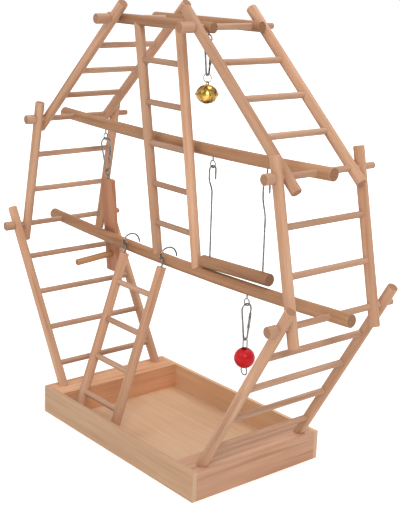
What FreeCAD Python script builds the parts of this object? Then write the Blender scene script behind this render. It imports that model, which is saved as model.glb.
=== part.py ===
import FreeCAD, Part
import math
import os

# Play stand for a small parrot: a shallow wooden tray, two bent side ladders joined by four perch
# bars, a climbing ladder, a hook-on ladder, a swing and three hanging toys.
# Millimetres. X runs along the tray, Y from front to rear, Z up. The origin is the centre of the
# tray's underside.

V = FreeCAD.Vector

# Stock and fits
rail_diameter = 10.0
rung_diameter = 6.0
perch_diameter = 12.0
top_bar_diameter = 10.0
glue_gap = 0.1
seat_gap = 0.1
moving_gap = 0.3
rung_depth = 6.0
edge_softening = 0.5

# Tray
tray_length = 254.8
tray_width = 160.0
tray_height = 29.6
board_thickness = 4.5
block_width = 30.4
floor_thickness = 3.0
board_edge_radius = 0.8

# Side frames, seen from the front: distance from the middle and height of each joint
foot_x = 118.3
low_joint_x = 212.1
low_joint_z = 188.4
mid_joint_x = 186.4
mid_joint_z = 308.8
top_joint_x = 64.3
top_joint_z = 421.2

# Rail centre planes: lower, middle and upper rails lie side by side on the same rods
lower_rail_y = 62.2
middle_rail_y = 49.7
upper_rail_y = 38.9

# How far each rail runs past its joint
foot_depth = 22.0
lower_rail_over = 21.0
middle_rail_over = 18.5
upper_rail_under = 17.0
upper_rail_over = 22.5

# Rungs
lower_rung_first = 37.5
lower_rung_pitch = 41.0
lower_rung_count = 4
middle_rung_count = 2
upper_rung_count = 3

# Rods through the joints, bare at the rear and capped at the front
low_rod_rear = 74.5
mid_rod_rear = 66.0
top_rod_rear = 51.4
cap_length = 10.0
top_cap_length = 15.0
cap_end_wall = 2.0

# Perch bars: the two long ones sag a little between the joints
middle_bar_left = -235.0
middle_bar_right = 233.0
middle_bar_sag = 5.0
upper_bar_left = -212.0
upper_bar_right = 202.5
upper_bar_sag = 3.3
bar_runs = 8
top_bar_y = 28.7
top_bar_left = -86.0
top_bar_right = 75.0

# Climbing ladder from the front top bar down to the middle perch bar
climb_left_x = -35.8
climb_right_x = 27.4
climb_rung_pitch = 41.2
climb_rung_count = 5
brad_diameter = 1.6
brad_head_diameter = 3.0
brad_head_thickness = 0.8
brad_depth = 12.0

# Hook-on ladder: stands on the tray floor and leans on the middle perch bar
lean_block_gap = 10.5
lean_spacing = 64.0
lean_left_x = -tray_length / 2.0 + block_width + lean_block_gap + rail_diameter / 2.0
lean_right_x = lean_left_x + lean_spacing
lean_toe_gap = 0.7
lean_foot_y = -tray_width / 2.0 + board_thickness + lean_toe_gap + rail_diameter / 2.0
lean_foot_rise = 1.95
lean_axis_gap = 0.8
lean_top_gap = 8.2
lean_rung_first = 30.8
lean_rung_pitch = 40.7
lean_rung_count = 4
lean_hook_radius = 10.6
lean_hook_depth = 14.0
lean_hook_middle = -0.8
lean_hook_mouth = 1.0
lean_hook_touch = 2.5
lean_hook_jog = 5.0
lean_hook_rise = 13.9
lean_hook_tip = 4.6

# Bent wire
hook_wire = 1.8
wire_sides = 8
eye_wire = 1.3
eye_shank = 1.6
eye_radius = 3.4
eye_standoff = 3.3
eye_screw_depth = 8.0

# Swing
swing_left_x = 46.3
swing_right_x = 121.5
swing_eye_z = 289.6
swing_perch_left = 36.4
swing_perch_right = 131.3
swing_perch_left_z = 196.0
swing_perch_right_z = 199.9
swing_wire_depth = 7.0
swing_hook_radius = 4.0
swing_jog_low = 28.0
swing_jog_high = 14.0
swing_jog_bend = 6.0
swing_hook_tail = 9.5

# Snap hooks: a pear of wire, narrow end down, with a sprung gate on the rear side
snap_length = 37.5
bell_snap_length = 32.5
snap_top_radius = 5.6
snap_low_radius = 2.3
snap_gate_top = 11.0
snap_gate_length = 13.5
snap_gate_diameter = 2.6
snap_tongue_thickness = 1.0
snap_pin_diameter = 0.9
snap_pin_gap = 0.05

# Ball toy
ball_x = 102.0
ball_diameter = 20.0
ball_bore = 7.6
ball_wire = 1.2
ball_strand_x = 2.8
ball_loop_low_radius = 3.9
ball_centre_drop = 18.0
ball_loop_drop = 37.0

# Bell toy
bell_x = 68.5
bell_turn = 18.0
bell_eye_standoff = 0.6
bell_ring_radius = 4.0
bell_ring_wire = 0.9
bell_diameter = 20.4
bell_height = 17.4
bell_wall = 0.7
bell_lip_diameter = 21.6
bell_lip_thickness = 1.2
bell_slit_width = 1.4
bell_slit_reach = 7.2
bell_slit_hole = 2.8
bell_lug_radius = 2.0
bell_lug_wire = 1.0
bell_pellet_diameter = 5.0

# Board toy
board_x = -131.5
board_width = 20.0
board_plate = 4.5
board_length = 104.5
board_corner = 2.0
peg_diameter = 7.0
peg_drop = 127.0
peg_reach = 46.8


def cylinder(start, end, diameter):
    axis = end.sub(start)
    return Part.makeCylinder(diameter / 2.0, axis.Length, start, axis)


def soften_ends(rod):
    """Chamfer the round edges at both flat ends of a plain dowel."""
    rims = [edge for edge in rod.Edges if edge.isClosed() and edge.Curve.TypeId == "Part::GeomCircle"]
    return rod.makeChamfer(edge_softening, rims)


def dowel(start, end, diameter):
    return soften_ends(cylinder(start, end, diameter))


def cross_hole(x, z, diameter, y_from, y_to):
    return cylinder(V(x, y_from, z), V(x, y_to, z), diameter + 2.0 * glue_gap)


def wire_section(centre, across, upright, diameter):
    """Cross section of a thin wire, with a few flats so that its many small bends stay light."""
    corners = []
    for number in range(wire_sides):
        angle = math.pi * (2.0 * number + 1.0) / wire_sides
        sideways = V(across).multiply(math.cos(angle) * diameter / 2.0)
        upwards = V(upright).multiply(math.sin(angle) * diameter / 2.0)
        corners.append(centre.add(sideways).add(upwards))
    return Part.makePolygon(corners + [corners[0]])


def wire_along(edges, diameter):
    """Wire swept along a smooth path whose first edge starts at the wire's end."""
    first = edges[0]
    start = first.valueAt(first.FirstParameter)
    heading = first.tangentAt(first.FirstParameter)
    side_on = V(1, 0, 0) if abs(heading.x) < 0.5 else V(0, 1, 0)
    upright = heading.cross(side_on).normalize()
    section = wire_section(start, upright.cross(heading).normalize(), upright, diameter)
    return Part.Wire(edges).makePipeShell([section], True, False)


def arc(first, middle, last):
    return Part.Arc(first, middle, last).toShape()


def line(first, last):
    return Part.makeLine(first, last)


def bent_path(points, bends):
    """Straight runs between the points, with a bend of the given radius at each corner."""
    edges = []
    start = points[0]
    for before, corner, after, radius in zip(points, points[1:], points[2:], bends):
        back = before.sub(corner).normalize()
        onward = after.sub(corner).normalize()
        half = back.getAngle(onward) / 2.0
        reach = radius / math.tan(half)
        entry = corner.add(V(back).multiply(reach))
        leave = corner.add(V(onward).multiply(reach))
        inward = back.add(onward).normalize()
        crest = corner.add(inward.multiply(radius / math.sin(half) - radius))
        if start.distanceToPoint(entry) > 0.001:
            edges.append(line(start, entry))
        edges.append(arc(entry, crest, leave))
        start = leave
    edges.append(line(start, points[-1]))
    return edges


def wire_ring(centre, radius, wire, axis):
    """A closed ring of wire round the given axis."""
    outward = axis.cross(V(0, 0, 1)).normalize()
    section = wire_section(centre.add(V(outward).multiply(radius)), outward, axis, wire)
    return Part.Face(section).revolve(centre, axis, 360.0)


# Joint places and directions of the side frames

def side_point(side, x, z):
    return V(side * x, 0.0, z)


def along(start, end, distance):
    heading = end.sub(start)
    heading.normalize()
    return start.add(heading.multiply(distance))


def at_depth(point, y):
    return V(point.x, y, point.z)


def foot(side):
    return side_point(side, foot_x, tray_height)


def low_joint(side):
    return side_point(side, low_joint_x, low_joint_z)


def mid_joint(side):
    return side_point(side, mid_joint_x, mid_joint_z)


def top_joint(side):
    return side_point(side, top_joint_x, top_joint_z)


def lower_rung_points(side):
    points = []
    for number in range(lower_rung_count):
        points.append(along(low_joint(side), foot(side), lower_rung_first + number * lower_rung_pitch))
    return points


def shared_points(start, end, count):
    step = end.sub(start).Length / (count + 1)
    return [along(start, end, step * (number + 1)) for number in range(count)]


def middle_rung_points(side):
    return shared_points(low_joint(side), mid_joint(side), middle_rung_count)


def upper_rung_points(side):
    return shared_points(mid_joint(side), top_joint(side), upper_rung_count)


def rung_half_length(rail_y):
    return rail_y - rail_diameter / 2.0 + rung_depth


def rung_group(points, rail_y):
    half = rung_half_length(rail_y)
    rungs = [cylinder(at_depth(p, -half), at_depth(p, half), rung_diameter) for p in points]
    return Part.makeCompound(rungs)


def drilled_rail(start, end, y, joints, rungs):
    """A rail at depth y with a through hole at each joint and a blind hole for each rung."""
    rail = dowel(at_depth(start, y), at_depth(end, y), rail_diameter)
    inward = -1.0 if y > 0 else 1.0
    blind = rung_half_length(abs(y)) + glue_gap
    for p in joints:
        rail = rail.cut(cross_hole(p.x, p.z, rung_diameter, y - rail_diameter, y + rail_diameter))
    for p in rungs:
        inner = y + inward * rail_diameter
        rail = rail.cut(cross_hole(p.x, p.z, rung_diameter, -inward * blind, inner))
    return rail


def lower_rail(side, y):
    start = along(foot(side), low_joint(side), -foot_depth)
    end = along(low_joint(side), foot(side), -lower_rail_over)
    return drilled_rail(start, end, y, [low_joint(side)], lower_rung_points(side))


def middle_rail(side, y):
    start = along(low_joint(side), mid_joint(side), -middle_rail_over)
    end = along(mid_joint(side), low_joint(side), -middle_rail_over)
    joints = [low_joint(side), mid_joint(side)]
    return drilled_rail(start, end, y, joints, middle_rung_points(side))


def upper_rail(side, y):
    start = along(mid_joint(side), top_joint(side), -upper_rail_under)
    end = along(top_joint(side), mid_joint(side), -upper_rail_over)
    joints = [mid_joint(side), top_joint(side)]
    return drilled_rail(start, end, y, joints, upper_rung_points(side))


# Tray

def tray_board(front):
    inner = tray_width / 2.0 - board_thickness
    y = -tray_width / 2.0 if front else inner
    board = Part.makeBox(tray_length, board_thickness, tray_height, V(-tray_length / 2.0, y, 0))
    outer = -tray_width / 2.0 if front else tray_width / 2.0
    edges = []
    for edge in board.Edges:
        middle = edge.CenterOfMass
        if abs(middle.y - outer) < glue_gap and middle.z > tray_height - glue_gap:
            edges.append(edge)
    return board.makeFillet(board_edge_radius, edges)


def end_block(side):
    inner = tray_width / 2.0 - board_thickness
    x = tray_length / 2.0 - block_width if side > 0 else -tray_length / 2.0
    block = Part.makeBox(block_width, 2.0 * inner, tray_height, V(x, -inner, 0))
    bottom = along(foot(side), low_joint(side), -foot_depth - seat_gap)
    above = along(foot(side), low_joint(side), rail_diameter)
    for y in (-lower_rail_y, lower_rail_y):
        socket = cylinder(at_depth(bottom, y), at_depth(above, y), rail_diameter + 2.0 * glue_gap)
        block = block.cut(socket)
    return block


def floor_panel():
    half_x = tray_length / 2.0 - block_width
    half_y = tray_width / 2.0 - board_thickness
    return Part.makeBox(2.0 * half_x, 2.0 * half_y, floor_thickness, V(-half_x, -half_y, 0))


# Rods and caps

def cap_start(rail_y):
    return rail_y + rail_diameter / 2.0 + seat_gap


def rod_pair(joint, rail_y, length, rear):
    tip = cap_start(rail_y) + length - cap_end_wall - seat_gap
    rods = []
    for side in (-1, 1):
        p = joint(side)
        rods.append(dowel(at_depth(p, -tip), at_depth(p, rear), rung_diameter))
    return Part.makeCompound(rods)


def rod_cap(point, rail_y, length):
    near = -cap_start(rail_y)
    cap = dowel(at_depth(point, near), at_depth(point, near - length), rail_diameter)
    bore_end = near - length + cap_end_wall
    return cap.cut(cross_hole(point.x, point.z, rung_diameter, near + glue_gap, bore_end))


def rod_caps():
    caps = []
    for side in (-1, 1):
        caps.append(rod_cap(low_joint(side), lower_rail_y, cap_length))
        caps.append(rod_cap(mid_joint(side), middle_rail_y, cap_length))
        caps.append(rod_cap(top_joint(side), upper_rail_y, top_cap_length))
    return Part.makeCompound(caps)


# Perch bars

def arc_radius(joint_x, sag):
    return (joint_x ** 2 + sag ** 2) / (2.0 * sag)


def bar_points(left, right, joint_x, joint_z, sag):
    """Corners of the bar's centre line, all on one wide arc through both joints."""
    radius = arc_radius(joint_x, sag)
    step = (right - left) / bar_runs
    stations = [left + step * number for number in range(bar_runs + 1)]
    return [V(x, 0, joint_z - sag + radius - math.sqrt(radius ** 2 - x ** 2)) for x in stations]


def middle_bar_points():
    return bar_points(middle_bar_left, middle_bar_right, low_joint_x, low_joint_z, middle_bar_sag)


def upper_bar_points():
    return bar_points(upper_bar_left, upper_bar_right, mid_joint_x, mid_joint_z, upper_bar_sag)


def height_on(points, x):
    """Height of the centre line above x, between the two corners on either side of it."""
    for a, b in zip(points, points[1:]):
        if x <= b.x or b is points[-1]:
            return a.z + (x - a.x) / (b.x - a.x) * (b.z - a.z)


def middle_bar_z(x):
    return height_on(middle_bar_points(), x)


def upper_bar_z(x):
    return height_on(upper_bar_points(), x)


def sagging_bar(points, joint_x, joint_z):
    """A round bar that bows down between its joints, in short straight lengths, drilled for the rods."""
    runs = [cylinder(a, b, perch_diameter) for a, b in zip(points, points[1:])]
    bar = soften_ends(runs[0].multiFuse(runs[1:]).removeSplitter())
    for side in (-1, 1):
        hole = cross_hole(side * joint_x, joint_z, rung_diameter, -perch_diameter, perch_diameter)
        bar = bar.cut(hole)
    return bar


def top_bar(y):
    bar = dowel(V(top_bar_left, y, top_joint_z), V(top_bar_right, y, top_joint_z), top_bar_diameter)
    for side in (-1, 1):
        p = top_joint(side)
        bar = bar.cut(cross_hole(p.x, p.z, rung_diameter, y - top_bar_diameter, y + top_bar_diameter))
    return bar


# Climbing ladder

def climb_top(x):
    return V(x, -top_bar_y, top_joint_z)


def climb_bottom(x):
    return V(x, 0, middle_bar_z(x))


def climb_rail_ends(x):
    high = along(climb_top(x), climb_bottom(x), top_bar_diameter / 2.0)
    low = along(climb_bottom(x), climb_top(x), perch_diameter / 2.0)
    return high, low


def climb_rung_points(x):
    high, low = climb_rail_ends(x)
    first = (high.sub(low).Length - (climb_rung_count - 1) * climb_rung_pitch) / 2.0
    return [along(high, low, first + number * climb_rung_pitch) for number in range(climb_rung_count)]


def ladder_rungs(left_points, right_points):
    rungs = []
    for left, right in zip(left_points, right_points):
        over = rung_depth - rail_diameter / 2.0
        rungs.append(cylinder(along(left, right, -over), along(right, left, -over), rung_diameter))
    return Part.makeCompound(rungs)


def rung_sockets(rail, points, others):
    """Blind holes in a ladder rail, towards the matching points of the other rail."""
    for p, other in zip(points, others):
        bottom = along(p, other, -(rung_depth - rail_diameter / 2.0) - glue_gap)
        mouth = along(p, other, rail_diameter)
        rail = rail.cut(cylinder(bottom, mouth, rung_diameter + 2.0 * glue_gap))
    return rail


def climb_brads(x):
    """One brad down through the top bar and one up through the perch bar, on the rail's line."""
    high, low = climb_rail_ends(x)
    top_head = along(climb_top(x), climb_bottom(x), -top_bar_diameter / 2.0 + glue_gap)
    low_head = along(climb_bottom(x), climb_top(x), -perch_diameter / 2.0 + glue_gap)
    brads = []
    for head, seat in ((top_head, high), (low_head, low)):
        tip = along(seat, head, -brad_depth)
        shank = cylinder(head, tip, brad_diameter)
        flat = cylinder(head, along(head, tip, brad_head_thickness), brad_head_diameter)
        brads.append(shank.fuse(flat).removeSplitter())
    return brads


def brad_holes(x):
    high, low = climb_rail_ends(x)
    holes = []
    pairs = ((climb_top(x), high, top_bar_diameter), (climb_bottom(x), low, perch_diameter))
    for centre, seat, diameter in pairs:
        outside = along(centre, seat, -diameter)
        head_floor = along(centre, seat, -diameter / 2.0 + brad_head_thickness + 2.0 * glue_gap)
        tip = along(seat, centre, -brad_depth - glue_gap)
        holes.append(cylinder(outside, tip, brad_diameter + 2.0 * glue_gap))
        holes.append(cylinder(outside, head_floor, brad_head_diameter + 2.0 * glue_gap))
    return holes


def climb_rail(x, other_x):
    rail = cylinder(climb_top(x), climb_bottom(x), rail_diameter)
    bar = cylinder(V(x - rail_diameter, -top_bar_y, top_joint_z),
                   V(x + rail_diameter, -top_bar_y, top_joint_z), top_bar_diameter + 2.0 * glue_gap)
    perch = cylinder(V(x - rail_diameter, 0, middle_bar_z(x - rail_diameter)),
                     V(x + rail_diameter, 0, middle_bar_z(x + rail_diameter)),
                     perch_diameter + 2.0 * glue_gap)
    rail = rail.cut(bar).cut(perch)
    rail = max(rail.Solids, key=lambda solid: solid.Volume)
    rail = rung_sockets(rail, climb_rung_points(x), climb_rung_points(other_x))
    for hole in brad_holes(x):
        rail = rail.cut(hole)
    return rail


# Hook-on ladder

def lean_foot(x):
    return V(x, lean_foot_y, floor_thickness + lean_foot_rise)


def lean_reach():
    """Distance from the ladder's foot to the perch bar, and from the bar to the line of the rails."""
    middle = (lean_left_x + lean_right_x) / 2.0
    rise = V(middle, 0, middle_bar_z(middle)).sub(lean_foot(middle))
    return rise, perch_diameter / 2.0 + lean_axis_gap


def lean_length():
    rise, aside = lean_reach()
    return math.sqrt(rise.Length ** 2 - aside ** 2) - lean_top_gap


def lean_up():
    rise, aside = lean_reach()
    angle = math.atan2(rise.y, rise.z) - math.asin(aside / rise.Length)
    return V(0, math.sin(angle), math.cos(angle))


def lean_point(x, distance):
    return lean_foot(x).add(lean_up().multiply(distance))


def lean_rung_points(x):
    top = lean_length() - lean_rung_first
    return [lean_point(x, top - number * lean_rung_pitch) for number in range(lean_rung_count)]


def lean_hook_path(x):
    """Up out of the rail, past the front of the perch bar, round over it and down behind."""
    perch = V(x, 0, middle_bar_z(x))
    inside = lean_point(x, lean_length() - lean_hook_depth)
    mouth = lean_point(x, lean_length() + lean_hook_mouth)
    touch_y = -(perch_diameter + hook_wire) / 2.0 - moving_gap
    beside = V(x, touch_y, perch.z + lean_hook_touch)
    front_y = lean_hook_middle - lean_hook_radius
    rear_y = lean_hook_middle + lean_hook_radius
    apex_z = perch.z + lean_hook_rise
    shoulder = V(x, front_y, perch.z + lean_hook_touch + lean_hook_jog)
    corners = [inside, mouth, beside, shoulder, V(x, front_y, apex_z), V(x, rear_y, apex_z),
               V(x, rear_y, perch.z + lean_hook_tip)]
    round_bend = lean_hook_radius - glue_gap
    return bent_path(corners, [hook_wire, hook_wire, hook_wire, round_bend, round_bend])


def lean_rail(x, other_x):
    rail = dowel(lean_foot(x), lean_point(x, lean_length()), rail_diameter)
    rail = rung_sockets(rail, lean_rung_points(x), lean_rung_points(other_x))
    bottom = lean_point(x, lean_length() - lean_hook_depth - glue_gap)
    top = lean_point(x, lean_length() + rail_diameter)
    return rail.cut(cylinder(bottom, top, hook_wire + 2.0 * glue_gap))


# Screw eyes

def screw_eye(mouth, depth, standoff, ring_axis):
    """A ring of wire hanging on a shank that is screwed straight up from the point mouth."""
    ring_centre = mouth.add(V(0, 0, -standoff - eye_radius - eye_wire / 2.0))
    ring = wire_ring(ring_centre, eye_radius, eye_wire, ring_axis)
    shank = cylinder(ring_centre.add(V(0, 0, eye_radius)), mouth.add(V(0, 0, depth)), eye_shank)
    return ring.fuse(shank).removeSplitter()


def eye_pilot(mouth, depth):
    start = mouth.add(V(0, 0, -eye_shank))
    return cylinder(start, mouth.add(V(0, 0, depth + glue_gap)), eye_shank + 2.0 * glue_gap)


def swing_eye_mouth(x):
    return V(x, 0, upper_bar_z(x) - perch_diameter / 2.0)


def swing_eye_standoff(x):
    return swing_eye_mouth(x).z - swing_eye_z - 2.0 * eye_radius - eye_wire / 2.0


def ball_eye_mouth():
    return V(ball_x, 0, middle_bar_z(ball_x) - perch_diameter / 2.0)


def board_eye_mouth():
    return V(board_x, 0, upper_bar_z(board_x) - perch_diameter / 2.0)


def bell_eye_mouth():
    return V(bell_x, -top_bar_y, top_joint_z - top_bar_diameter / 2.0)


def eye_pivot(mouth, standoff):
    """Centre of the wire at the bottom of the ring."""
    return mouth.add(V(0, 0, -standoff - 2.0 * eye_radius - eye_wire / 2.0))


def screw_eyes():
    along_y = V(0, 1, 0)
    eyes = [screw_eye(swing_eye_mouth(x), eye_screw_depth, swing_eye_standoff(x), along_y)
            for x in (swing_left_x, swing_right_x)]
    eyes.append(screw_eye(ball_eye_mouth(), eye_screw_depth, eye_standoff, along_y))
    eyes.append(screw_eye(board_eye_mouth(), eye_screw_depth, eye_standoff, along_y))
    bell_eye = screw_eye(bell_eye_mouth(), eye_screw_depth, bell_eye_standoff, along_y)
    eyes.append(turned_bell(bell_eye))
    return Part.makeCompound(eyes)


# Swing

def swing_wire(x):
    """Straight up out of the perch, a small jog forward, and a hook over the eye's lower wire."""
    pivot = V(x, 0, swing_eye_z)
    slope = (swing_perch_right_z - swing_perch_left_z) / (swing_perch_right - swing_perch_left)
    perch_z = swing_perch_left_z + slope * (x - swing_perch_left)
    bottom = V(x, 0, perch_z + perch_diameter / 2.0 - swing_wire_depth)
    apex_z = pivot.z + hook_wire / 2.0 + eye_wire / 2.0 + moving_gap
    front_y = -swing_hook_radius
    rear_y = swing_hook_radius
    corners = [bottom, V(x, 0, pivot.z - swing_jog_low), V(x, front_y, pivot.z - swing_jog_high),
               V(x, front_y, apex_z), V(x, rear_y, apex_z),
               V(x, rear_y, apex_z - swing_hook_radius - swing_hook_tail)]
    bends = [swing_jog_bend, swing_jog_bend, swing_hook_radius, swing_hook_radius]
    return wire_along(bent_path(corners, bends), hook_wire), bottom


def swing_perch():
    left = V(swing_perch_left, 0, swing_perch_left_z)
    right = V(swing_perch_right, 0, swing_perch_right_z)
    perch = dowel(left, right, perch_diameter)
    for x in (swing_left_x, swing_right_x):
        bottom = swing_wire(x)[1]
        hole = cylinder(bottom.add(V(0, 0, -glue_gap)), bottom.add(V(0, 0, perch_diameter)),
                        hook_wire + 2.0 * glue_gap)
        perch = perch.cut(hole)
    return perch


# Snap hooks, drawn in the YZ plane with the origin on the wire they hang from

def snap_outline(length):
    """Centres of the two end arcs and the direction of the normal of the rear side."""
    top_z = hook_wire / 2.0 + eye_wire / 2.0 + moving_gap
    high = V(0, 0, top_z - snap_top_radius)
    low = V(0, 0, top_z - length + hook_wire + snap_low_radius)
    lean = (snap_top_radius - snap_low_radius) / (high.z - low.z)
    normal = V(0, math.sqrt(1.0 - lean ** 2), -lean)
    return high, low, normal


def snap_side_point(length, drop):
    """The point of the rear side at a given drop below the hook's outer top."""
    high, low, normal = snap_outline(length)
    start = high.add(V(normal).multiply(snap_top_radius))
    end = low.add(V(normal).multiply(snap_low_radius))
    outer_top = high.z + snap_top_radius + hook_wire / 2.0
    share = (outer_top - drop - start.z) / (end.z - start.z)
    return start.add(end.sub(start).multiply(share))


def snap_scale(length):
    return length / snap_length


def snap_nose(length):
    return snap_side_point(length, snap_gate_top * snap_scale(length))


def snap_pin_point(length):
    return snap_side_point(length, (snap_gate_top + snap_gate_length) * snap_scale(length))


def snap_lower_pivot(length):
    """Centre of the wire at the bottom of the hook."""
    low = snap_outline(length)[1]
    return V(0, 0, low.z - snap_low_radius)


def mirrored(vector):
    return V(vector.x, -vector.y, vector.z)


def snap_hook(length):
    """The open wire pear, its lower end flattened to a tongue that carries the gate's pin."""
    high, low, normal = snap_outline(length)
    other = mirrored(normal)
    nose = snap_nose(length)
    pin = snap_pin_point(length)
    rear_high = high.add(V(normal).multiply(snap_top_radius))
    front_high = high.add(V(other).multiply(snap_top_radius))
    rear_low = low.add(V(normal).multiply(snap_low_radius))
    front_low = low.add(V(other).multiply(snap_low_radius))
    tongue_root = along(pin, rear_low, snap_gate_diameter)
    path = [line(nose, rear_high),
            arc(rear_high, high.add(V(0, 0, snap_top_radius)), front_high),
            line(front_high, front_low),
            arc(front_low, low.add(V(0, 0, -snap_low_radius)), rear_low),
            line(rear_low, tongue_root)]
    hook = wire_along(path, hook_wire)
    tongue = cylinder(tongue_root, along(pin, tongue_root, -snap_pin_diameter), hook_wire)
    half = snap_tongue_thickness / 2.0
    slab = Part.makeBox(snap_tongue_thickness, 4.0 * hook_wire, 4.0 * snap_gate_diameter,
                        V(-half, pin.y - 2.0 * hook_wire, pin.z - 2.0 * snap_gate_diameter))
    hook = hook.fuse(tongue.common(slab)).removeSplitter()
    bore = snap_pin_diameter + 2.0 * snap_pin_gap
    return hook.cut(cylinder(V(-hook_wire, pin.y, pin.z), V(hook_wire, pin.y, pin.z), bore))


def snap_gate(length):
    """The gate: a short round bar, forked round the tongue, with the pin it turns on."""
    nose = snap_nose(length)
    pin = snap_pin_point(length)
    upper = along(nose, pin, moving_gap)
    lower = along(pin, nose, -snap_gate_diameter / 2.0)
    gate = cylinder(lower, upper, snap_gate_diameter)
    half = snap_tongue_thickness / 2.0 + moving_gap / 2.0
    slot = Part.makeBox(2.0 * half, 6.0 * hook_wire, 2.6 * snap_gate_diameter,
                        V(-half, pin.y - 3.0 * hook_wire, pin.z - 1.6 * snap_gate_diameter))
    gate = gate.cut(slot)
    reach = snap_gate_diameter / 2.0 - glue_gap
    axle = cylinder(V(-reach, pin.y, pin.z), V(reach, pin.y, pin.z), snap_pin_diameter)
    return gate.fuse(axle).removeSplitter()


def placed(shape, point):
    copy = shape.copy()
    copy.translate(point)
    return copy


# Ball toy

def ball_pivot():
    return eye_pivot(ball_eye_mouth(), eye_standoff)


def ball_loop_pivot():
    return ball_pivot().add(snap_lower_pivot(snap_length))


def ball_centre():
    return ball_loop_pivot().add(V(0, 0, -ball_centre_drop))


def ball_loop():
    """A long loop of wire through the ball, bent wider below it so that the ball can't fall off."""
    pivot = ball_loop_pivot()
    x = pivot.x
    apex_z = pivot.z + hook_wire / 2.0 + ball_wire / 2.0 + moving_gap
    rim_z = ball_centre().z - math.sqrt((ball_diameter / 2.0) ** 2 - (ball_bore / 2.0) ** 2)
    flare_z = rim_z - moving_gap
    low_z = apex_z - ball_loop_drop
    wide = ball_loop_low_radius
    strand = ball_strand_x
    wide_z = low_z + wide + ball_wire
    start = V(x + strand, 0, ball_centre().z)
    corners = [start, V(x + strand, 0, apex_z), V(x - strand, 0, apex_z), V(x - strand, 0, flare_z),
               V(x - wide, 0, wide_z), V(x - wide, 0, low_z), V(x + wide, 0, low_z),
               V(x + wide, 0, wide_z), V(x + strand, 0, flare_z), start]
    bends = [strand, strand, ball_wire, ball_wire, wide, wide, ball_wire, ball_wire]
    return wire_along(bent_path(corners, bends), ball_wire)


def red_ball():
    centre = ball_centre()
    radius = ball_diameter / 2.0
    ball = Part.makeSphere(radius, centre)
    bore = cylinder(centre.add(V(0, 0, -radius)), centre.add(V(0, 0, radius)), ball_bore)
    return ball.cut(bore)


# Bell toy

def bell_pivot():
    return eye_pivot(bell_eye_mouth(), bell_eye_standoff)


def bell_ring_pivot():
    return bell_pivot().add(snap_lower_pivot(bell_snap_length))


def turned_bell(shape):
    """The bell toy hangs turned a little about the upright line through its eye."""
    copy = shape.copy()
    copy.rotate(V(bell_x, -top_bar_y, 0), V(0, 0, 1), bell_turn)
    return copy


def bell_ring_centre():
    rise = hook_wire / 2.0 + bell_ring_wire / 2.0 + moving_gap
    return bell_ring_pivot().add(V(0, 0, rise - bell_ring_radius))


def bell_ring():
    return wire_ring(bell_ring_centre(), bell_ring_radius, bell_ring_wire, V(0, 1, 0))


def bell_lug_centre():
    """The bell's own wire loop hangs from the bottom of the ring."""
    drop = bell_ring_wire / 2.0 + bell_lug_wire / 2.0 + moving_gap
    return bell_ring_centre().add(V(0, 0, -bell_ring_radius + drop - bell_lug_radius))


def bell_centre():
    lug_low = bell_lug_centre().z - bell_lug_radius - bell_lug_wire / 2.0
    return V(bell_x, -top_bar_y, lug_low + bell_wall + bell_lug_wire - bell_height / 2.0)


def bell_half(side):
    """One stamped half of the bell: a shallow dome with a flat rim round its mouth."""
    height = bell_height / 2.0
    dome = ((bell_diameter / 2.0) ** 2 + height ** 2) / (2.0 * height)
    beyond = dome - height

    def dome_point(radius, z):
        return V(math.sqrt(radius ** 2 - (z + beyond) ** 2), 0, side * z)

    inner = dome - bell_wall
    rim = bell_lip_thickness / 2.0
    lip = bell_lip_diameter / 2.0
    inner_foot = dome_point(inner, 0)
    inner_top = V(0, 0, side * (height - bell_wall))
    outer_top = V(0, 0, side * height)
    outer_foot = dome_point(dome, rim)
    profile = [arc(inner_foot, dome_point(inner, height / 2.0), inner_top),
               line(inner_top, outer_top),
               arc(outer_top, dome_point(dome, height / 2.0), outer_foot),
               line(outer_foot, V(lip, 0, side * rim)),
               line(V(lip, 0, side * rim), V(lip, 0, 0)),
               line(V(lip, 0, 0), inner_foot)]
    half = Part.Face(Part.Wire(profile)).revolve(V(0, 0, 0), V(0, 0, 1), 360.0)
    half.translate(bell_centre().add(V(0, 0, side * seat_gap / 2.0)))
    return half


def bell_upper_shell():
    """The upper half with the staple of wire that it hangs from."""
    staple = wire_ring(bell_lug_centre(), bell_lug_radius, bell_lug_wire, V(1, 0, 0))
    return bell_half(1).fuse(staple).removeSplitter()


def bell_lower_shell():
    """The lower half, opened by crossed slits that end in round holes."""
    shell = bell_half(-1)
    below = bell_centre().add(V(0, 0, -bell_height))
    for x, y in ((1, 0), (0, 1)):
        half_x = bell_slit_reach if x else bell_slit_width / 2.0
        half_y = bell_slit_reach if y else bell_slit_width / 2.0
        corner = below.add(V(-half_x, -half_y, 0))
        shell = shell.cut(Part.makeBox(2.0 * half_x, 2.0 * half_y, bell_height, corner))
        for end in (-1, 1):
            foot_point = below.add(V(end * x * bell_slit_reach, end * y * bell_slit_reach, 0))
            top_point = foot_point.add(V(0, 0, bell_height))
            shell = shell.cut(cylinder(foot_point, top_point, bell_slit_hole))
    return shell


def bell_pellet():
    centre = bell_centre()
    floor = centre.z - bell_height / 2.0 + bell_wall
    rise = bell_pellet_diameter / 2.0 + moving_gap
    return Part.makeSphere(bell_pellet_diameter / 2.0, V(centre.x, centre.y, floor + rise))


# Board toy, built hanging straight down and then leaned back against the perch bar

def board_pivot():
    return eye_pivot(board_eye_mouth(), eye_standoff)


def board_lean():
    drop = board_pivot().z - middle_bar_z(board_x)
    offset = perch_diameter / 2.0 + moving_gap + board_plate / 2.0
    return math.degrees(math.asin(offset / drop))


def leaned_back(shape):
    copy = shape.copy()
    copy.rotate(board_pivot(), V(1, 0, 0), board_lean())
    return copy


def board_ring_pivot():
    return board_pivot().add(snap_lower_pivot(snap_length))


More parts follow.
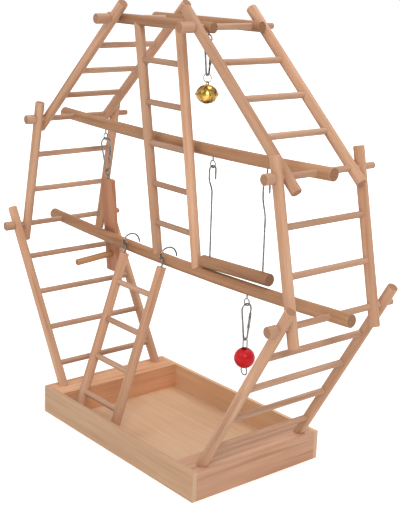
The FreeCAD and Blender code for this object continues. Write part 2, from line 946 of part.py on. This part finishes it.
def board_eye_ring_centre():
    rise = hook_wire / 2.0 + eye_wire / 2.0 + moving_gap
    return board_ring_pivot().add(V(0, 0, rise - eye_radius))


def board_top():
    return board_eye_ring_centre().add(V(0, 0, -eye_radius - eye_wire / 2.0 - eye_standoff))


def board_screw_eye():
    centre = board_eye_ring_centre()
    ring = wire_ring(centre, eye_radius, eye_wire, V(0, 1, 0))
    tip = board_top().add(V(0, 0, -eye_screw_depth))
    return ring.fuse(cylinder(centre.add(V(0, 0, -eye_radius)), tip, eye_shank)).removeSplitter()


def peg_height():
    return board_pivot().z - peg_drop


def chew_board():
    top = board_top()
    corner = V(board_x - board_width / 2.0, -board_plate / 2.0, top.z - board_length)
    board = Part.makeBox(board_width, board_plate, board_length, corner)
    upright = [e for e in board.Edges if abs(e.tangentAt(e.FirstParameter).y) > 0.5]
    board = board.makeFillet(board_corner, upright)
    pilot = cylinder(top.add(V(0, 0, -eye_screw_depth - glue_gap)), top.add(V(0, 0, eye_shank)),
                     eye_shank + 2.0 * glue_gap)
    hole = cylinder(V(board_x, -board_plate, peg_height()), V(board_x, board_plate, peg_height()),
                    peg_diameter + 2.0 * glue_gap)
    return board.cut(pilot).cut(hole)


def board_peg():
    rear = V(board_x, board_plate / 2.0, peg_height())
    front = V(board_x, -peg_reach, peg_height())
    return dowel(front, rear, peg_diameter)


# Bars with the holes for everything that is fixed in them

def middle_perch_bar():
    bar = sagging_bar(middle_bar_points(), low_joint_x, low_joint_z)
    bar = bar.cut(eye_pilot(ball_eye_mouth(), eye_screw_depth))
    for x in (climb_left_x, climb_right_x):
        for hole in brad_holes(x)[2:]:
            bar = bar.cut(hole)
    return bar


def upper_perch_bar():
    bar = sagging_bar(upper_bar_points(), mid_joint_x, mid_joint_z)
    for mouth in (swing_eye_mouth(swing_left_x), swing_eye_mouth(swing_right_x), board_eye_mouth()):
        bar = bar.cut(eye_pilot(mouth, eye_screw_depth))
    return bar


def top_front_bar():
    bar = top_bar(-top_bar_y).cut(eye_pilot(bell_eye_mouth(), eye_screw_depth))
    for x in (climb_left_x, climb_right_x):
        for hole in brad_holes(x)[:2]:
            bar = bar.cut(hole)
    return bar


def lean_hooks():
    hooks = [wire_along(lean_hook_path(x), hook_wire) for x in (lean_left_x, lean_right_x)]
    return Part.makeCompound(hooks)


def build_nodes():
    nodes = {}
    nodes["tray_front_board"] = tray_board(True)
    nodes["tray_rear_board"] = tray_board(False)
    nodes["tray_left_end_block"] = end_block(-1)
    nodes["tray_right_end_block"] = end_block(1)
    nodes["tray_floor_panel"] = floor_panel()
    for side, side_name in ((-1, "left"), (1, "right")):
        for row, row_name in ((-1, "front"), (1, "rear")):
            end = side_name + "_" + row_name + "_rail"
            nodes["lower_" + end] = lower_rail(side, row * lower_rail_y)
            nodes["middle_" + end] = middle_rail(side, row * middle_rail_y)
            nodes["upper_" + end] = upper_rail(side, row * upper_rail_y)
        nodes["lower_" + side_name + "_rungs"] = rung_group(lower_rung_points(side), lower_rail_y)
        nodes["middle_" + side_name + "_rungs"] = rung_group(middle_rung_points(side), middle_rail_y)
        nodes["upper_" + side_name + "_rungs"] = rung_group(upper_rung_points(side), upper_rail_y)
    nodes["low_cross_rods"] = rod_pair(low_joint, lower_rail_y, cap_length, low_rod_rear)
    nodes["middle_cross_rods"] = rod_pair(mid_joint, middle_rail_y, cap_length, mid_rod_rear)
    nodes["top_cross_rods"] = rod_pair(top_joint, upper_rail_y, top_cap_length, top_rod_rear)
    nodes["rod_end_caps"] = rod_caps()
    nodes["middle_perch_bar"] = middle_perch_bar()
    nodes["upper_perch_bar"] = upper_perch_bar()
    nodes["top_front_bar"] = top_front_bar()
    nodes["top_rear_bar"] = top_bar(top_bar_y)
    nodes["screw_eyes"] = screw_eyes()
    nodes["climbing_ladder_left_rail"] = climb_rail(climb_left_x, climb_right_x)
    nodes["climbing_ladder_right_rail"] = climb_rail(climb_right_x, climb_left_x)
    nodes["climbing_ladder_rungs"] = ladder_rungs(climb_rung_points(climb_left_x),
                                                  climb_rung_points(climb_right_x))
    nodes["climbing_ladder_brads"] = Part.makeCompound(climb_brads(climb_left_x) + climb_brads(climb_right_x))
    nodes["hook_ladder_left_rail"] = lean_rail(lean_left_x, lean_right_x)
    nodes["hook_ladder_right_rail"] = lean_rail(lean_right_x, lean_left_x)
    nodes["hook_ladder_rungs"] = ladder_rungs(lean_rung_points(lean_left_x), lean_rung_points(lean_right_x))
    nodes["hook_ladder_hooks"] = lean_hooks()
    nodes["swing_perch"] = swing_perch()
    nodes["swing_left_wire"] = swing_wire(swing_left_x)[0]
    nodes["swing_right_wire"] = swing_wire(swing_right_x)[0]
    nodes["ball_snap_hook"] = placed(snap_hook(snap_length), ball_pivot())
    nodes["ball_snap_gate"] = placed(snap_gate(snap_length), ball_pivot())
    nodes["ball_wire_loop"] = ball_loop()
    nodes["red_ball"] = red_ball()
    nodes["bell_snap_hook"] = turned_bell(placed(snap_hook(bell_snap_length), bell_pivot()))
    nodes["bell_snap_gate"] = turned_bell(placed(snap_gate(bell_snap_length), bell_pivot()))
    nodes["bell_ring"] = turned_bell(bell_ring())
    nodes["bell_upper_shell"] = turned_bell(bell_upper_shell())
    nodes["bell_lower_shell"] = turned_bell(bell_lower_shell())
    nodes["bell_pellet"] = turned_bell(bell_pellet())
    nodes["board_snap_hook"] = leaned_back(placed(snap_hook(snap_length), board_pivot()))
    nodes["board_snap_gate"] = leaned_back(placed(snap_gate(snap_length), board_pivot()))
    nodes["board_screw_eye"] = leaned_back(board_screw_eye())
    nodes["chew_board"] = leaned_back(chew_board())
    nodes["board_peg"] = leaned_back(board_peg())
    return nodes


os.makedirs("parts", exist_ok=True)
for name, shape in build_nodes().items():
    shape.exportStep("parts/" + name + ".step")
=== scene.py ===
import math
import random
import bpy
from mathutils import Matrix, Vector


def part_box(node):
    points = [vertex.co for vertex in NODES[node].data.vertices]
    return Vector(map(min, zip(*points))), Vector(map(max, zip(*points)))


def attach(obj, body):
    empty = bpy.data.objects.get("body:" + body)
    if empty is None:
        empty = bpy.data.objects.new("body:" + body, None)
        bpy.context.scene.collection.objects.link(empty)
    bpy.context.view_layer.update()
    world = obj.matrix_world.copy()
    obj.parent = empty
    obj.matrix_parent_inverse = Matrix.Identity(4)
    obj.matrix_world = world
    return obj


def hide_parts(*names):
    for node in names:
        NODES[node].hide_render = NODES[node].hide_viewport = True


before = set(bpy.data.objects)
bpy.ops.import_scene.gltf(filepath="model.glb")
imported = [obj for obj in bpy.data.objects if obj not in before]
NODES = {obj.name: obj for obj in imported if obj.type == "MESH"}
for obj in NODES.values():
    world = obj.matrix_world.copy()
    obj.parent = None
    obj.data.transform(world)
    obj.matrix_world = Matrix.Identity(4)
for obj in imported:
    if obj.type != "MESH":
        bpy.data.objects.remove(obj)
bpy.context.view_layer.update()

# ---------------------------------------------------------------- shader nodes

WHITE = (1.0, 1.0, 1.0, 1.0)


def shade(color):
    """An sRGB colour, 0 to 255, as the linear values that a shader takes."""
    linear = []
    for channel in color:
        c = channel / 255.0
        linear.append(c / 12.92 if c <= 0.04045 else ((c + 0.055) / 1.055) ** 2.4)
    return (*linear, 1.0)


def typed_socket(sockets, name, kind):
    """The socket of that name and data type on a Mix node, which has one for each type."""
    return [s for s in sockets if s.name == name and s.type == kind][0]


class Tree:
    """Short names for adding and joining the shader nodes of a material or a world."""

    def __init__(self, owner):
        owner.use_nodes = True
        self.nodes = owner.node_tree.nodes
        self.links = owner.node_tree.links

    def add(self, kind):
        return self.nodes.new(kind)

    def join(self, out, into):
        self.links.new(out, into)

    def feed(self, socket, value):
        """Join a node's output to the socket, or set the socket to a plain value."""
        if isinstance(value, bpy.types.NodeSocket):
            self.join(value, socket)
        else:
            socket.default_value = value

    def math(self, operation, *operands):
        node = self.add("ShaderNodeMath")
        node.operation = operation
        for socket, value in zip(node.inputs, operands):
            self.feed(socket, value)
        return node.outputs[0]

    def ramp(self, factor, low, low_color, high, high_color):
        """Colour that goes from one stop to the other as the factor rises."""
        node = self.add("ShaderNodeValToRGB")
        stops = ((low, low_color), (high, high_color))
        for element, (position, color) in zip(node.color_ramp.elements, stops):
            element.position = position
            element.color = color
        self.join(factor, node.inputs["Fac"])
        return node.outputs["Color"]

    def mix(self, factor, a, b, blend="MIX"):
        node = self.add("ShaderNodeMix")
        node.data_type = "RGBA"
        node.blend_type = blend
        self.feed(typed_socket(node.inputs, "Factor", "VALUE"), factor)
        self.feed(typed_socket(node.inputs, "A", "RGBA"), a)
        self.feed(typed_socket(node.inputs, "B", "RGBA"), b)
        return typed_socket(node.outputs, "Result", "RGBA")

    def mapped(self, vector, location=(0, 0, 0), rotation=(0, 0, 0), scale=(1, 1, 1)):
        node = self.add("ShaderNodeMapping")
        node.inputs["Location"].default_value = location
        node.inputs["Rotation"].default_value = rotation
        node.inputs["Scale"].default_value = scale
        self.join(vector, node.inputs["Vector"])
        return node.outputs["Vector"]

    def noise(self, vector, scale, detail, rough=0.5, distortion=0.0):
        node = self.add("ShaderNodeTexNoise")
        node.inputs["Scale"].default_value = scale
        node.inputs["Detail"].default_value = detail
        node.inputs["Roughness"].default_value = rough
        node.inputs["Distortion"].default_value = distortion
        self.join(vector, node.inputs["Vector"])
        return node.outputs["Fac"]

    def wave(self, vector, pattern, axis, scale, distortion, detail, detail_scale):
        """Bands across the axis, or rings round it."""
        node = self.add("ShaderNodeTexWave")
        node.wave_type = pattern
        node.bands_direction = axis
        node.rings_direction = axis
        node.inputs["Scale"].default_value = scale
        node.inputs["Distortion"].default_value = distortion
        node.inputs["Detail"].default_value = detail
        node.inputs["Detail Scale"].default_value = detail_scale
        self.join(vector, node.inputs["Vector"])
        return node.outputs["Fac"]


def new_material(name):
    """A new material, its tree and the inputs of its shader."""
    material = bpy.data.materials.new(name)
    tree = Tree(material)
    return material, tree, tree.nodes["Principled BSDF"].inputs


def vary_roughness(tree, surface, factor, spread, middle):
    """Roughness that follows a noise: middle, give or take half of the spread."""
    roughness = tree.math("MULTIPLY_ADD", factor, spread, middle - spread / 2.0)
    tree.join(roughness, surface["Roughness"])


# ---------------------------------------------------------------- wood

# The figure of the wood. Noises: stretch along and across the grain, then the scale, detail,
# roughness and distortion. Waves: pattern, axis, scale, distortion, detail and detail's scale.
BROAD_NOISE = ((3.0, 55.0, 55.0), 1.6, 4.0, 0.55, 0.8)
PORE_NOISE = ((12.0, 420.0, 420.0), 1.5, 3.0, 0.6, 0.0)
DRIFT_NOISE = ((9.0, 16.0, 16.0), 1.0, 2.0, 0.5, 0.0)
STREAK_NOISE = ((7.0, 160.0, 160.0), 1.0, 2.0, 0.5, 0.4)
GROWTH_WAVE = ("BANDS", "Y", 34.0, 3.5, 2.0, 1.2)
GROWTH_STRETCH = (0.10, 1.0, 1.0)
RING_WAVE = ("RINGS", "X", 260.0, 2.0, 2.0, 1.0)
SPECK_SCALE = 900.0
SPECK_DETAIL = 2.0

# How a layer darkens the wood: strength, the layer's value at the full tint and at no tint, and the tint
GROWTH_TINT = (0.42, 0.0, 0.55, (0.80, 0.72, 0.65, 1.0))
PORE_TINT = (0.45, 0.36, 0.55, (0.84, 0.79, 0.74, 1.0))
DRIFT_TINT = (0.8, 0.35, 0.62, (0.96, 0.88, 0.84, 1.0))
STREAK_TINT = (0.7, 0.30, 0.42, (0.74, 0.66, 0.58, 1.0))
SPECK_TINT = (0.5, 0.35, 0.60, (0.80, 0.76, 0.72, 1.0))

# Stops between the dark and the light tone, on the long grain and on the end grain
GRAIN_STOPS = (0.32, 0.62)
END_STOPS = (0.1, 0.8)

# Largest random shift of a piece's figure in the stretched coordinates, and the rings' share of it
GRAIN_SHIFT = 3
RING_SHIFT = 0.02

# The end grain shows where the normal points along the grain by more than this
END_FACING = 0.93

WOOD_ROUGH_SPREAD = 0.22
WOOD_GLOSS = 0.25
PORE_BUMP = 0.25
PORE_DEPTH = 0.0003


def grain_space(tree, direction):
    """Object coordinates and normal, turned so that X runs along the piece's grain."""
    coordinates = tree.add("ShaderNodeTexCoord")
    turn = Vector((1, 0, 0)).rotation_difference(Vector(direction)).inverted().to_euler()
    vector = tree.mapped(coordinates.outputs["Object"], rotation=turn)
    normal = tree.mapped(coordinates.outputs["Normal"], rotation=turn)
    return vector, normal


def darkened(tree, base, factor, tint, figure=1.0):
    """The base colour, multiplied towards the tint where the factor is low."""
    strength, full, none, color = tint
    shadow = tree.ramp(factor, full, color, none, WHITE)
    return tree.mix(strength * figure, base, shadow, "MULTIPLY")


def wood(name, direction, tone, rough, figure, seed):
    """Planed or turned pale wood: growth lines, pores, drift, streaks and darker end grain."""
    light, dark, end_light, end_dark = tone
    material, tree, surface = new_material(name)
    chance = random.Random(seed)
    offset = tuple(chance.uniform(-GRAIN_SHIFT, GRAIN_SHIFT) for _ in range(3))
    vector, normal = grain_space(tree, direction)

    def layer(values):
        stretch, *settings = values
        return tree.noise(tree.mapped(vector, offset, scale=stretch), *settings)

    broad = layer(BROAD_NOISE)
    pores = layer(PORE_NOISE)
    drift = layer(DRIFT_NOISE)
    streaks = layer(STREAK_NOISE)
    growth = tree.wave(tree.mapped(vector, offset, scale=GROWTH_STRETCH), *GROWTH_WAVE)
    base = tree.ramp(broad, GRAIN_STOPS[0], shade(dark), GRAIN_STOPS[1], shade(light))
    base = darkened(tree, base, growth, GROWTH_TINT, figure)
    base = darkened(tree, base, pores, PORE_TINT)
    base = darkened(tree, base, drift, DRIFT_TINT)
    base = darkened(tree, base, streaks, STREAK_TINT, figure)

    split = tree.add("ShaderNodeSeparateXYZ")
    tree.join(normal, split.inputs[0])
    is_end = tree.math("GREATER_THAN", tree.math("ABSOLUTE", split.outputs["X"]), END_FACING)
    ring_offset = tuple(RING_SHIFT * o for o in offset)
    rings = tree.wave(tree.mapped(vector, ring_offset), *RING_WAVE)
    end_color = tree.ramp(rings, END_STOPS[0], shade(end_dark), END_STOPS[1], shade(end_light))
    specks = tree.noise(vector, SPECK_SCALE, SPECK_DETAIL)
    end_color = darkened(tree, end_color, specks, SPECK_TINT)
    tree.join(tree.mix(is_end, base, end_color), surface["Base Color"])

    vary_roughness(tree, surface, pores, WOOD_ROUGH_SPREAD, rough)
    bump = tree.add("ShaderNodeBump")
    bump.inputs["Strength"].default_value = PORE_BUMP
    bump.inputs["Distance"].default_value = PORE_DEPTH
    tree.join(pores, bump.inputs["Height"])
    tree.join(bump.outputs["Normal"], surface["Normal"])
    surface["Specular IOR Level"].default_value = WOOD_GLOSS
    return material


# Tones of the wood, sRGB: light grain, dark grain, light end grain, dark end grain
RAIL = ((214, 172, 142), (192, 150, 120), (182, 136, 106), (142, 100, 74))
CLIMB = ((218, 176, 146), (194, 152, 120), (182, 136, 106), (142, 100, 74))
RUNG = ((202, 164, 138), (180, 143, 117), (182, 138, 108), (148, 106, 78))
BAR = ((186, 142, 106), (160, 119, 88), (170, 124, 92), (124, 86, 60))
DARK_BAR = ((172, 130, 96), (148, 108, 79), (166, 124, 94), (122, 84, 59))
TRAY = ((206, 172, 140), (197, 162, 131), (226, 194, 164), (200, 162, 130))
BLOCK = ((210, 168, 140), (194, 151, 123), (208, 162, 130), (180, 132, 102))
# The inner board's and inner block's tones are the tray's and the block's wood with paler grain: painted
# light, standing in for light bounced round inside the tray
BOUNCE_LIT_BOARD = ((232, 194, 156), (220, 180, 142), (226, 194, 164), (200, 162, 130))
BOUNCE_LIT_BLOCK = ((234, 186, 148), (220, 168, 130), (208, 162, 130), (180, 132, 102))
FLOOR = ((216, 182, 150), (208, 174, 142), (206, 164, 130), (176, 132, 98))
CHEW = ((190, 134, 102), (166, 114, 84), (186, 140, 108), (154, 108, 80))
PEG = ((196, 152, 112), (172, 128, 90), (180, 136, 100), (140, 100, 70))

# Sticks that are paler or darker than their neighbours, as a factor on the light and dark grain
STICK_SHADE = {
    "upper_right_front_rail": 0.93,
    "climbing_ladder_left_rail": 0.93,
    "climbing_ladder_right_rail": 1.03,
    "climbing_ladder_rungs": 0.92,
}

ALONG_X = (1, 0, 0)
ALONG_Y = (0, 1, 0)
ALONG_PIECE = None  # the node's long axis, worked out from its mesh

# Roughness of sawn, plain and worn wood
SAWN_WOOD = 0.6
PLAIN_WOOD = 0.55
WORN_WOOD = 0.5

# The wood of a node: grain direction, tone, roughness and strength of figure
WOOD_BY_NODE = {
    # The left end block and the rear board take the paler tones, painted light for the inside of the
    # tray
    "tray_left_end_block": (ALONG_Y, BOUNCE_LIT_BLOCK, SAWN_WOOD, 0.8),
    "tray_right_end_block": (ALONG_Y, BLOCK, SAWN_WOOD, 1.1),
    "tray_rear_board": (ALONG_X, BOUNCE_LIT_BOARD, SAWN_WOOD, 0.4),
    "tray_front_board": (ALONG_X, TRAY, SAWN_WOOD, 0.4),
    "tray_floor_panel": (ALONG_X, FLOOR, SAWN_WOOD, 0.12),
    "chew_board": (ALONG_PIECE, CHEW, PLAIN_WOOD, 1.2),
    "board_peg": (ALONG_PIECE, PEG, PLAIN_WOOD, 1.0),
    "top_front_bar": (ALONG_X, DARK_BAR, WORN_WOOD, 1.0),
    "top_rear_bar": (ALONG_X, DARK_BAR, WORN_WOOD, 1.0),
    "swing_perch": (ALONG_X, DARK_BAR, WORN_WOOD, 1.0),
    "climbing_ladder_rungs": (ALONG_X, RUNG, PLAIN_WOOD, 1.0),
    "hook_ladder_rungs": (ALONG_X, RUNG, PLAIN_WOOD, 1.0),
}

# The same for the other wooden nodes, by the first of these that is in the name
WOOD_BY_WORD = (
    ("perch_bar", (ALONG_X, BAR, WORN_WOOD, 1.0)),
    ("_rungs", (ALONG_Y, RUNG, PLAIN_WOOD, 1.0)),
    ("_rods", (ALONG_Y, RUNG, PLAIN_WOOD, 1.0)),
    ("rod_end_caps", (ALONG_Y, RUNG, PLAIN_WOOD, 1.0)),
    ("climbing_ladder", (ALONG_PIECE, CLIMB, PLAIN_WOOD, 1.0)),
    ("_rail", (ALONG_PIECE, RAIL, PLAIN_WOOD, 1.0)),
)

AXIS_GUESS = (0.37, 0.21, 0.9)
AXIS_STEPS = 40


def long_axis(node):
    """Direction of the longest spread of a node's vertices, found by power iteration."""
    points = [v.co for v in NODES[node].data.vertices]
    centre = sum(points, Vector()) / len(points)
    axis = Vector(AXIS_GUESS).normalized()
    for _ in range(AXIS_STEPS):
        total = Vector()
        for p in points:
            d = p - centre
            total += d * d.dot(axis)
        axis = total.normalized()
    return axis


def shaded(tone, factor):
    """The tone with its light and dark grain multiplied, and its end grain as it was."""
    light, dark, end_light, end_dark = tone
    return tuple(factor * c for c in light), tuple(factor * c for c in dark), end_light, end_dark


def wood_of(node, seed):
    """The material of a wooden node."""
    if node in WOOD_BY_NODE:
        direction, tone, rough, figure = WOOD_BY_NODE[node]
    else:
        direction, tone, rough, figure = [look for word, look in WOOD_BY_WORD if word in node][0]
    if direction is ALONG_PIECE:
        direction = long_axis(node)
    tone = shaded(tone, STICK_SHADE.get(node, 1.0))
    return wood(node, direction, tone, rough, figure, seed)


# ---------------------------------------------------------------- metal and paint

STEEL_PATCHES = 260.0
# Scale of the patches of painted reflection on the bell's gold
GOLD_REFLECTION_PATCHES = 110.0
METAL_DETAIL = 3.0
METAL_STOPS = (0.35, 0.65)
METAL_ROUGH_SPREAD = 0.16

RED_DARK = (190, 0, 16)
RED_LIGHT = (208, 4, 24)
RED_PATCHES = 120.0
RED_DETAIL = 2.0
RED_STOPS = (0.3, 0.7)
RED_ROUGH = 0.42
RED_ROUGH_SPREAD = 0.10
RED_GLOSS = 0.25
RED_COAT = 0.1
RED_COAT_ROUGH = 0.12


def patchy(name, light, dark, stops, scale, detail, rough, spread):
    """A material whose colour and roughness follow the patches of one noise, and its shader's inputs."""
    material, tree, surface = new_material(name)
    coordinates = tree.add("ShaderNodeTexCoord")
    patch = tree.noise(coordinates.outputs["Object"], scale, detail)
    tone = tree.ramp(patch, stops[0], shade(dark), stops[1], shade(light))
    tree.join(tone, surface["Base Color"])
    vary_roughness(tree, surface, patch, spread, rough)
    return material, surface


def metal(name, light, dark, rough, scale):
    material, surface = patchy(name, light, dark, METAL_STOPS, scale, METAL_DETAIL, rough,
                               METAL_ROUGH_SPREAD)
    surface["Metallic"].default_value = 1.0
    return material


def red_gloss():
    """The paint of the ball."""
    material, surface = patchy("red_gloss", RED_LIGHT, RED_DARK, RED_STOPS, RED_PATCHES, RED_DETAIL,
                               RED_ROUGH, RED_ROUGH_SPREAD)
    surface["Specular IOR Level"].default_value = RED_GLOSS
    surface["Coat Weight"].default_value = RED_COAT
    surface["Coat Roughness"].default_value = RED_COAT_ROUGH
    return material


STEEL = metal("dark_steel", (136, 132, 128), (82, 78, 74), 0.34, STEEL_PATCHES)
BRIGHT = metal("bright_steel", (164, 162, 158), (112, 110, 106), 0.22, STEEL_PATCHES)
# The bell's gold runs from near black to pale gold in patches: painted reflection, standing in for the
# dark and bright patches of the room seen in the polished bell
PAINTED_REFLECTION_GOLD = metal("gold_with_painted_reflections", (226, 182, 98), (66, 40, 12), 0.14, GOLD_REFLECTION_PATCHES)
NOT_WOOD = {
    "bell_upper_shell": PAINTED_REFLECTION_GOLD,
    "bell_lower_shell": PAINTED_REFLECTION_GOLD,
    "bell_pellet": PAINTED_REFLECTION_GOLD,
    "bell_ring": BRIGHT,
    "red_ball": red_gloss(),
}

# ---------------------------------------------------------------- materials and edges of the CAD nodes

# Words in the names of the nodes that are made of wire
WIRE_WORDS = ("wire", "snap", "hooks", "eye", "brads", "bell_ring")
SAWN = (
    "tray_front_board",
    "tray_rear_board",
    "tray_left_end_block",
    "tray_right_end_block",
    "chew_board",
)

# Wire has eight flats, 45 degrees apart, so that it needs the larger of these angles to look round
SMOOTH_ANGLE = 35.0
WIRE_SMOOTH_ANGLE = 50.0

EDGE_WIDTH = 0.0006
EDGE_SEGMENTS = 2
EDGE_ANGLE = 60.0
FIRST_SEED = 18
SEED_STEP = 7


def paint(node, material):
    data = NODES[node].data
    data.materials.clear()
    data.materials.append(material)


def smooth(obj, angle):
    """Smooth shading, with sharp edges where the surface turns by more than the angle."""
    for polygon in obj.data.polygons:
        polygon.use_smooth = True
    obj.data.set_sharp_from_angle(angle=math.radians(angle))


def soften_edges(obj):
    """Take the sharpness off the long edges of a sawn piece."""
    bevel = obj.modifiers.new("softened_edges", "BEVEL")
    bevel.width = EDGE_WIDTH
    bevel.segments = EDGE_SEGMENTS
    bevel.limit_method = "ANGLE"
    bevel.angle_limit = math.radians(EDGE_ANGLE)


for place, node in enumerate(sorted(NODES)):
    wiry = any(word in node for word in WIRE_WORDS)
    if node in NOT_WOOD:
        paint(node, NOT_WOOD[node])
    elif wiry:
        paint(node, STEEL)
    else:
        paint(node, wood_of(node, FIRST_SEED + SEED_STEP * place))
    smooth(NODES[node], WIRE_SMOOTH_ANGLE if wiry else SMOOTH_ANGLE)
    if node in SAWN:
        soften_edges(NODES[node])

# ---------------------------------------------------------------- swing wires

WIRE_RADIUS = 0.0009
WIRE_ROUNDNESS = 3

# The lower and the upper end of each wire's soft bend, as depths below the middle of its hook
BEND_DEPTH = {"left": (0.022, 0.007), "right": (0.034, 0.010)}

# Length of the straight end of the hook, below the middle of its curve
HOOK_TAIL = 0.0095

BEND_STEPS = 20
HOOK_STEPS = 18


def swing_wire_points(node, bend_low, bend_high):
    """Up from the swing's perch, in a soft bend to the front, and over the eye to the rear."""
    low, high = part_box(node)
    x = (low[0] + high[0]) / 2.0
    hook_radius = (high[1] - low[1]) / 2.0 - WIRE_RADIUS
    centre_y = (high[1] + low[1]) / 2.0
    centre_z = high[2] - WIRE_RADIUS - hook_radius
    points = [(x, 0.0, low[2])]
    for step in range(BEND_STEPS + 1):
        share = step / BEND_STEPS
        height = centre_z - bend_low + share * (bend_low - bend_high)
        reach = (1.0 - math.cos(math.pi * share)) / 2.0
        points.append((x, reach * (centre_y - hook_radius), height))
    for step in range(HOOK_STEPS + 1):
        angle = math.pi * (1.0 - step / HOOK_STEPS)
        y = centre_y + hook_radius * math.cos(angle)
        points.append((x, y, centre_z + hook_radius * math.sin(angle)))
    points.append((x, centre_y + hook_radius, centre_z - HOOK_TAIL))
    return points


def round_wire(name, points, radius, material):
    data = bpy.data.curves.new(name, "CURVE")
    data.dimensions = "3D"
    data.bevel_depth = radius
    data.bevel_resolution = WIRE_ROUNDNESS
    data.use_fill_caps = True
    spline = data.splines.new("POLY")
    spline.points.add(len(points) - 1)
    for point, place in zip(spline.points, points):
        point.co = (*place, 1.0)
    spline.use_smooth = True
    data.materials.append(material)
    piece = bpy.data.objects.new(name, data)
    bpy.context.scene.collection.objects.link(piece)
    return piece


for side in ("left", "right"):
    node = "swing_" + side + "_wire"
    path = swing_wire_points(node, *BEND_DEPTH[side])
    wire = round_wire("bent_" + node, path, WIRE_RADIUS, STEEL)
    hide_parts(node)
    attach(wire, "swing")

# ---------------------------------------------------------------- floor

FLOOR_SIZE = 12.0
FLOOR_DARK = (0.93, 0.93, 0.93, 1.0)
FLOOR_PALE = (0.95, 0.95, 0.95, 1.0)
FLOOR_PATCHES = 3.0
FLOOR_DETAIL = 1.0
FLOOR_ROUGH = 0.9
FLOOR_GLOSS = 0.1

# The glow rises from the near to the far value between these distances from the middle, in metres
NEAR_EDGE = 0.28
FAR_EDGE = 0.9
NEAR_GLOW = 0.38
FAR_GLOW = 1.0


def seen_directly(tree):
    """1 on camera, glossy and transmission rays, and 0 on the others, which light the object."""
    path = tree.add("ShaderNodeLightPath")
    total = path.outputs["Is Camera Ray"]
    for name in ("Is Glossy Ray", "Is Transmission Ray"):
        total = tree.math("MAXIMUM", total, path.outputs[name])
    return total


def floor_material():
    """Pale floor with a glow that the camera and reflections see. Far off it meets the white world."""
    material, tree, surface = new_material("studio_floor")
    coordinates = tree.add("ShaderNodeTexCoord")
    patch = tree.noise(coordinates.outputs["Object"], FLOOR_PATCHES, FLOOR_DETAIL)
    tree.join(tree.ramp(patch, 0.0, FLOOR_DARK, 1.0, FLOOR_PALE), surface["Base Color"])
    surface["Roughness"].default_value = FLOOR_ROUGH
    surface["Specular IOR Level"].default_value = FLOOR_GLOSS
    surface["Emission Color"].default_value = WHITE
    distance = tree.add("ShaderNodeVectorMath")
    distance.operation = "LENGTH"
    tree.join(coordinates.outputs["Object"], distance.inputs[0])
    spread = tree.add("ShaderNodeMapRange")
    spread.inputs["From Min"].default_value = NEAR_EDGE
    spread.inputs["From Max"].default_value = FAR_EDGE
    spread.inputs["To Min"].default_value = NEAR_GLOW
    spread.inputs["To Max"].default_value = FAR_GLOW
    tree.join(distance.outputs["Value"], spread.inputs["Value"])
    glow = tree.math("MULTIPLY", seen_directly(tree), spread.outputs["Result"])
    tree.join(glow, surface["Emission Strength"])
    return material


bpy.ops.mesh.primitive_plane_add(size=FLOOR_SIZE, location=(0, 0, 0))
ground = bpy.context.object
ground.name = "studio_ground"
ground.data.materials.append(floor_material())

# ---------------------------------------------------------------- light

# Each lamp's name, place, diameter, power and colour
LAMPS = (
    ("key_light", (1.5, -0.9, 1.6), 0.9, 20.0, (1.0, 0.98, 0.95)),
    ("fill_light", (-0.2, -1.6, 1.8), 1.2, 9.0, (1.0, 1.0, 1.0)),
    ("top_light", (-0.1, 0.7, 2.2), 1.2, 14.0, (1.0, 1.0, 1.0)),
)
LAMP_AIM = (0.0, 0.0, 0.2)

# Strength of the world as it lights the object, and as it is seen
AMBIENT_LIGHT = 0.47
SEEN_LIGHT = 1.0

scene = bpy.context.scene


def area_light(name, place, diameter, power, color):
    data = bpy.data.lights.new(name, "AREA")
    data.shape = "DISK"
    data.size = diameter
    data.energy = power
    data.color = color
    light = bpy.data.objects.new(name, data)
    scene.collection.objects.link(light)
    light.location = place
    light.rotation_euler = (Vector(LAMP_AIM) - Vector(place)).to_track_quat("-Z", "Y").to_euler()


def background(node, strength):
    node.inputs["Color"].default_value = WHITE
    node.inputs["Strength"].default_value = strength
    return node.outputs[0]


for lamp in LAMPS:
    area_light(*lamp)

world = bpy.data.worlds.new("studio_world")
scene.world = world
sky = Tree(world)
switch = sky.add("ShaderNodeMixShader")
sky.join(seen_directly(sky), switch.inputs["Fac"])
sky.join(background(sky.nodes["Background"], AMBIENT_LIGHT), switch.inputs[1])
sky.join(background(sky.add("ShaderNodeBackground"), SEEN_LIGHT), switch.inputs[2])
sky.join(switch.outputs[0], sky.nodes["World Output"].inputs["Surface"])
scene.view_settings.view_transform = "Standard"

# ---------------------------------------------------------------- camera

# The camera stands where the photograph was taken: turned left, tipped down and rolled a little
CAMERA_PLACE = Vector((0.810996, -0.649146, 0.478245))
CAMERA_YAW = math.radians(50.220)
CAMERA_DOWN = math.radians(15.174)
CAMERA_ROLL = math.radians(1.8094)
CAMERA_LENS = 76.87
SENSOR_WIDTH = 36.0
NEAREST_SEEN = 0.05

forward = Vector((
    -math.sin(CAMERA_YAW) * math.cos(CAMERA_DOWN),
    math.cos(CAMERA_YAW) * math.cos(CAMERA_DOWN),
    -math.sin(CAMERA_DOWN),
))
level = forward.cross(Vector((0, 0, 1))).normalized()
upright = level.cross(forward).normalized()
across = level * math.cos(CAMERA_ROLL) + upright * math.sin(CAMERA_ROLL)
upward = upright * math.cos(CAMERA_ROLL) - level * math.sin(CAMERA_ROLL)
camera_data = bpy.data.cameras.new("photo_camera")
camera_data.sensor_width = SENSOR_WIDTH
camera_data.sensor_fit = "AUTO"
camera_data.lens = CAMERA_LENS
camera_data.clip_start = NEAREST_SEEN
camera = bpy.data.objects.new("photo_camera", camera_data)
scene.collection.objects.link(camera)
turn = Matrix((across, upward, -forward)).transposed()
camera.matrix_world = Matrix.Translation(CAMERA_PLACE) @ turn.to_4x4()
scene.camera = camera
